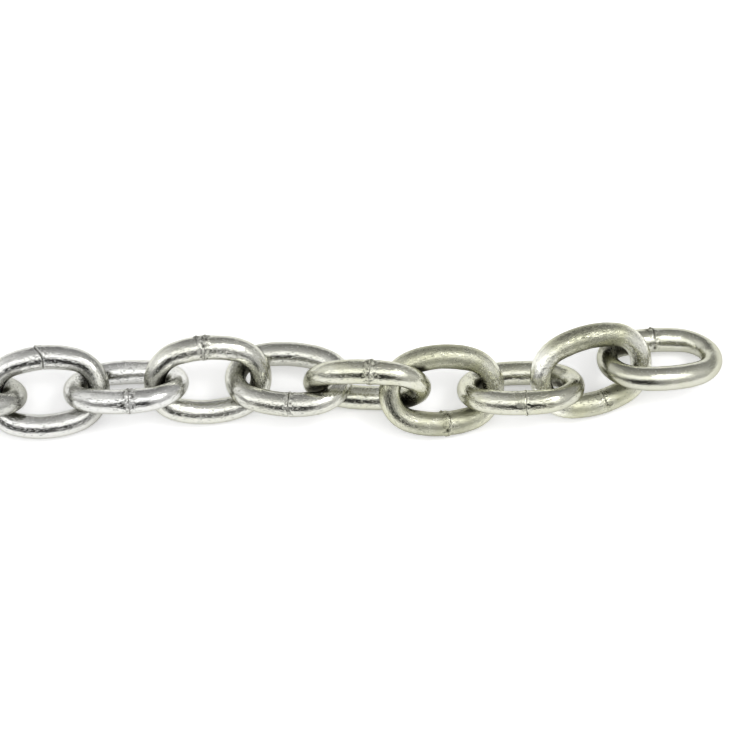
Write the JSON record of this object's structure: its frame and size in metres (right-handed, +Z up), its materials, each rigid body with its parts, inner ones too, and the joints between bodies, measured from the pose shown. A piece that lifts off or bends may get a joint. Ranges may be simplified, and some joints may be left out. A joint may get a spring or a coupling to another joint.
{
  "type": "short-link steel chain",
  "caption": "Length of zinc-plated, electric-welded short-link steel chain for lifting, lashing and securing, lying drawn out with its end link open.",
  "frame": {"origin": "middle of the chain's footprint, on the floor that it lies on", "axes": "+X runs along the chain towards the free end that the picture shows, +Y to the side away from the picture's camera, +Z up"},
  "size_m": [1.0028, 0.0436, 0.031],
  "materials": {
    "zinc_plated_steel": "bright electro-zinc plating, dimpled, half mirror"
  },
  "bodies": {
    "body_01": {"link_01": "zinc_plated_steel"},
    "body_02": {"link_02": "zinc_plated_steel"},
    "body_03": {"link_03": "zinc_plated_steel"},
    "body_04": {"link_04": "zinc_plated_steel"},
    "body_05": {"link_05": "zinc_plated_steel"},
    "body_06": {"link_06": "zinc_plated_steel"},
    "body_07": {"link_07": "zinc_plated_steel"},
    "body_08": {"link_08": "zinc_plated_steel"},
    "body_09": {"link_09": "zinc_plated_steel"},
    "body_10": {"link_10": "zinc_plated_steel"},
    "body_11": {"link_11": "zinc_plated_steel"},
    "body_12": {"link_12": "zinc_plated_steel"},
    "body_13": {"link_13": "zinc_plated_steel"},
    "body_14": {"link_14": "zinc_plated_steel"},
    "body_15": {"link_15": "zinc_plated_steel"},
    "body_16": {"link_16": "zinc_plated_steel"},
    "body_17": {"link_17": "zinc_plated_steel"},
    "body_18": {"link_18": "zinc_plated_steel"},
    "body_19": {"link_19": "zinc_plated_steel"},
    "body_20": {"link_20": "zinc_plated_steel"},
    "body_21": {"link_21": "zinc_plated_steel"},
    "body_22": {"link_22": "zinc_plated_steel"},
    "body_23": {"link_23": "zinc_plated_steel"},
    "body_24": {"link_24": "zinc_plated_steel"},
    "body_25": {"link_25": "zinc_plated_steel"},
    "body_26": {"link_26": "zinc_plated_steel"},
    "body_27": {"link_27": "zinc_plated_steel"},
    "body_28": {"link_28": "zinc_plated_steel"},
    "body_29": {"link_29": "zinc_plated_steel"},
    "body_30": {"link_30": "zinc_plated_steel"},
    "body_31": {"link_31": "zinc_plated_steel"},
    "body_32": {"link_32": "zinc_plated_steel"},
    "body_33": {"link_33": "zinc_plated_steel"},
    "body_34": {"link_34": "zinc_plated_steel"},
    "body_35": {"link_35": "zinc_plated_steel"},
    "body_36": {"link_36": "zinc_plated_steel"},
    "body_37": {"link_37": "zinc_plated_steel"}
  },
  "joints": [
    {"name": "swing_02", "type": "hinge", "parent": "body_01", "child": "body_02", "pos_m": [0.46349, 0.00474, 0.01314], "axis": [-0.2035, 0.8533, -0.4801], "range_deg": [-55, 2.5]},
    {"name": "swing_03", "type": "hinge", "parent": "body_02", "child": "body_03", "pos_m": [0.44385, -0.00332, 0.01358], "axis": [-0.1897, 0.7319, 0.6545], "range_deg": [-60, 45]},
    {"name": "swing_04", "type": "hinge", "parent": "body_03", "child": "body_04", "pos_m": [0.41744, -0.00205, 0.00861], "axis": [-0.1752, -0.7757, 0.6063], "range_deg": [-60, 45]},
    {"name": "swing_05", "type": "hinge", "parent": "body_04", "child": "body_05", "pos_m": [0.39422, -0.00668, 0.01567], "axis": [-0.0039, -0.7741, -0.633], "range_deg": [-2.5, 20]},
    {"name": "swing_06", "type": "hinge", "parent": "body_05", "child": "body_06", "pos_m": [0.36937, -0.00272, 0.01297], "axis": [-0.1444, -0.0574, 0.9879], "range_deg": [0, 60]},
    {"name": "swing_07", "type": "hinge", "parent": "body_06", "child": "body_07", "pos_m": [0.34345, 0.00165, 0.01032], "axis": [0.1368, 0.9467, -0.2917], "range_deg": [-15, 30]},
    {"name": "swing_08", "type": "hinge", "parent": "body_07", "child": "body_08", "pos_m": [0.31517, -0.00327, 0.01482], "axis": [-0.0083, -0.6752, -0.7376], "range_deg": [-60, 60]},
    {"name": "swing_09", "type": "hinge", "parent": "body_08", "child": "body_09", "pos_m": [0.29064, -0.0018, 0.00859], "axis": [-0.2201, -0.7692, 0.5999], "range_deg": [-45, 20]},
    {"name": "swing_10", "type": "hinge", "parent": "body_09", "child": "body_10", "pos_m": [0.26181, -0.00618, 0.01054], "axis": [-0.0819, 0.8622, 0.4999], "range_deg": [-40, 35]},
    {"name": "swing_11", "type": "hinge", "parent": "body_10", "child": "body_11", "pos_m": [0.23529, -0.00655, 0.01567], "axis": [-0.1457, 0.7147, -0.6841], "range_deg": [-60, 10]},
    {"name": "swing_12", "type": "hinge", "parent": "body_11", "child": "body_12", "pos_m": [0.21103, -0.0049, 0.01184], "axis": [-0.0422, -0.7058, -0.7071], "range_deg": [-60, 60]},
    {"name": "swing_13", "type": "hinge", "parent": "body_12", "child": "body_13", "pos_m": [0.18377, -0.00337, 0.01184], "axis": [-0.0386, -0.706, 0.7071], "range_deg": [-60, 60]},
    {"name": "swing_14", "type": "hinge", "parent": "body_13", "child": "body_14", "pos_m": [0.15649, -0.00228, 0.01184], "axis": [0.0283, 0.7065, 0.7071], "range_deg": [-60, 60]},
    {"name": "swing_15", "type": "hinge", "parent": "body_14", "child": "body_15", "pos_m": [0.1292, -0.00182, 0.01184], "axis": [0.0131, 0.707, -0.7071], "range_deg": [-60, 60]},
    {"name": "swing_16", "type": "hinge", "parent": "body_15", "child": "body_16", "pos_m": [0.1019, -0.00208, 0.01184], "axis": [0.0044, -0.7071, -0.7071], "range_deg": [-60, 60]},
    {"name": "swing_17", "type": "hinge", "parent": "body_16", "child": "body_17", "pos_m": [0.07461, -0.00301, 0.01184], "axis": [0.0211, -0.7068, 0.7071], "range_deg": [-60, 60]},
    {"name": "swing_18", "type": "hinge", "parent": "body_17", "child": "body_18", "pos_m": [0.04735, -0.00444, 0.01184], "axis": [-0.0342, 0.7063, 0.7071], "range_deg": [-60, 60]},
    {"name": "swing_19", "type": "hinge", "parent": "body_18", "child": "body_19", "pos_m": [0.0201, -0.00614, 0.01184], "axis": [-0.0413, 0.7059, -0.7071], "range_deg": [-60, 60]},
    {"name": "swing_20", "type": "hinge", "parent": "body_19", "child": "body_20", "pos_m": [-0.00715, -0.0078, 0.01184], "axis": [0.0413, -0.7059, -0.7071], "range_deg": [-60, 60]},
    {"name": "swing_21", "type": "hinge", "parent": "body_20", "child": "body_21", "pos_m": [-0.03441, -0.00915, 0.01184], "axis": [0.0342, -0.7063, 0.7071], "range_deg": [-60, 60]},
    {"name": "swing_22", "type": "hinge", "parent": "body_21", "child": "body_22", "pos_m": [-0.0617, -0.00994, 0.01184], "axis": [-0.0211, 0.7068, 0.7071], "range_deg": [-60, 60]},
    {"name": "swing_23", "type": "hinge", "parent": "body_22", "child": "body_23", "pos_m": [-0.089, -0.01004, 0.01184], "axis": [-0.0044, 0.7071, -0.7071], "range_deg": [-60, 60]},
    {"name": "swing_24", "type": "hinge", "parent": "body_23", "child": "body_24", "pos_m": [-0.1163, -0.00943, 0.01184], "axis": [-0.0131, -0.707, -0.7071], "range_deg": [-60, 60]},
    {"name": "swing_25", "type": "hinge", "parent": "body_24", "child": "body_25", "pos_m": [-0.14357, -0.00822, 0.01184], "axis": [-0.0283, -0.7065, 0.7071], "range_deg": [-60, 60]},
    {"name": "swing_26", "type": "hinge", "parent": "body_25", "child": "body_26", "pos_m": [-0.17082, -0.00662, 0.01184], "axis": [0.0386, 0.706, 0.7071], "range_deg": [-60, 60]},
    {"name": "swing_27", "type": "hinge", "parent": "body_26", "child": "body_27", "pos_m": [-0.19807, -0.0049, 0.01184], "axis": [0.0422, 0.7058, -0.7071], "range_deg": [-60, 60]},
    {"name": "swing_28", "type": "hinge", "parent": "body_27", "child": "body_28", "pos_m": [-0.22533, -0.00337, 0.01184], "axis": [-0.0386, -0.706, -0.7071], "range_deg": [-60, 60]},
    {"name": "swing_29", "type": "hinge", "parent": "body_28", "child": "body_29", "pos_m": [-0.25261, -0.00228, 0.01184], "axis": [-0.0283, -0.7065, 0.7071], "range_deg": [-60, 60]},
    {"name": "swing_30", "type": "hinge", "parent": "body_29", "child": "body_30", "pos_m": [-0.2799, -0.00182, 0.01184], "axis": [0.0131, 0.707, 0.7071], "range_deg": [-60, 60]},
    {"name": "swing_31", "type": "hinge", "parent": "body_30", "child": "body_31", "pos_m": [-0.3072, -0.00208, 0.01184], "axis": [-0.0044, 0.7071, -0.7071], "range_deg": [-60, 60]},
    {"name": "swing_32", "type": "hinge", "parent": "body_31", "child": "body_32", "pos_m": [-0.33448, -0.00301, 0.01184], "axis": [0.0211, -0.7068, -0.7071], "range_deg": [-60, 60]},
    {"name": "swing_33", "type": "hinge", "parent": "body_32", "child": "body_33", "pos_m": [-0.36175, -0.00444, 0.01184], "axis": [0.0342, -0.7063, 0.7071], "range_deg": [-60, 60]},
    {"name": "swing_34", "type": "hinge", "parent": "body_33", "child": "body_34", "pos_m": [-0.389, -0.00614, 0.01184], "axis": [-0.0413, 0.7059, 0.7071], "range_deg": [-60, 60]},
    {"name": "swing_35", "type": "hinge", "parent": "body_34", "child": "body_35", "pos_m": [-0.41625, -0.0078, 0.01184], "axis": [-0.0413, 0.7059, -0.7071], "range_deg": [-60, 60]},
    {"name": "swing_36", "type": "hinge", "parent": "body_35", "child": "body_36", "pos_m": [-0.44351, -0.00915, 0.01184], "axis": [0.0342, -0.7063, -0.7071], "range_deg": [-60, 60]},
    {"name": "swing_37", "type": "hinge", "parent": "body_36", "child": "body_37", "pos_m": [-0.4708, -0.00994, 0.01184], "axis": [0.0211, -0.7068, 0.7071], "range_deg": [-60, 60]}
  ]
}
